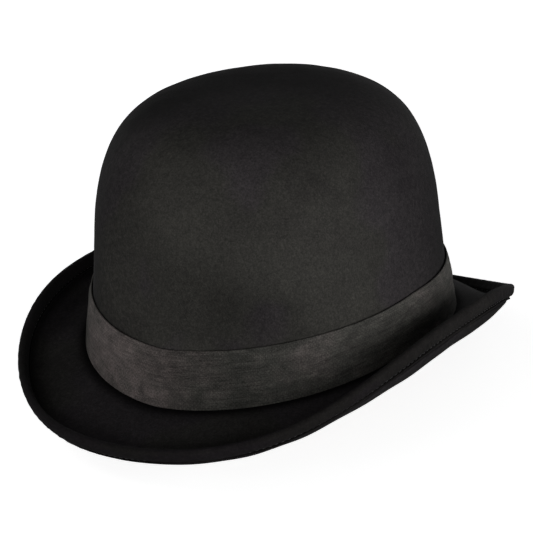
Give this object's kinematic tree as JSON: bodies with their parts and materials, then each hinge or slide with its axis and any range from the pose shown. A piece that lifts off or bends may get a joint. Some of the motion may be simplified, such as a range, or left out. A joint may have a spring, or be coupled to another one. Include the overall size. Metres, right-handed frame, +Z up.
{
  "type": "bowler hat",
  "caption": "Hard domed hat with a curled bound brim, flat cloth band, inner sweatband, satin lining and a folding sewn-in label.",
  "frame": {"origin": "centre of the head opening, on the mean line where the crown meets the brim", "axes": "+Z up through the dome, the hat's front towards -Y and its back towards +Y, the wearer's left towards +X"},
  "size_m": [0.2357, 0.3009, 0.1612],
  "materials": {
    "crown_cloth": "brushed velour-like cloth, charcoal black",
    "brim_cloth": "brushed velour-like cloth, charcoal black",
    "band_cloth": "self cloth with a fine slubbed weave",
    "binding_cloth": "folded self-cloth binding",
    "stiff_shell": "moulded, stiffened felt",
    "cord": "round plastic edge cord",
    "dark_thread": "twisted dark thread",
    "light_thread": "twisted tan thread",
    "sweatband_leather": "smooth brown grain leather, satin",
    "reed": "clear-white plastic reed",
    "tape": "woven dark tape",
    "ribbon": "ribbed ribbon",
    "satin": "black satin weave, glossy",
    "patch": "woven patch, blank",
    "label": "woven satin label, blank"
  },
  "bodies": {
    "hat": {"crown_cover": "crown_cloth", "crown_stiffener": "stiff_shell", "brim_top_cloth": "brim_cloth", "brim_core": "stiff_shell", "brim_under_cloth": "brim_cloth", "brim_edge_cord": "cord", "brim_binding": "binding_cloth", "binding_stitching": "dark_thread", "hatband": "band_cloth", "hatband_tacks": "dark_thread", "headsize_stitching": "dark_thread", "sweatband": "sweatband_leather", "sweatband_reed": "reed", "reed_tape": "tape", "sweatband_stitching": "light_thread", "sweatband_bow": "ribbon", "lining_side": "satin", "lining_tip": "satin", "lining_piping": "satin", "lining_patch": "patch", "care_label_stitches": "light_thread"},
    "label_flap": {"care_label": "label"}
  },
  "joints": [
    {"name": "care_label_fold", "type": "hinge", "parent": "hat", "child": "label_flap", "pos_m": [0.05315, 0.0775, 0.0018], "axis": [0.7486, -0.6631, 0], "range_deg": [0, 105]}
  ]
}
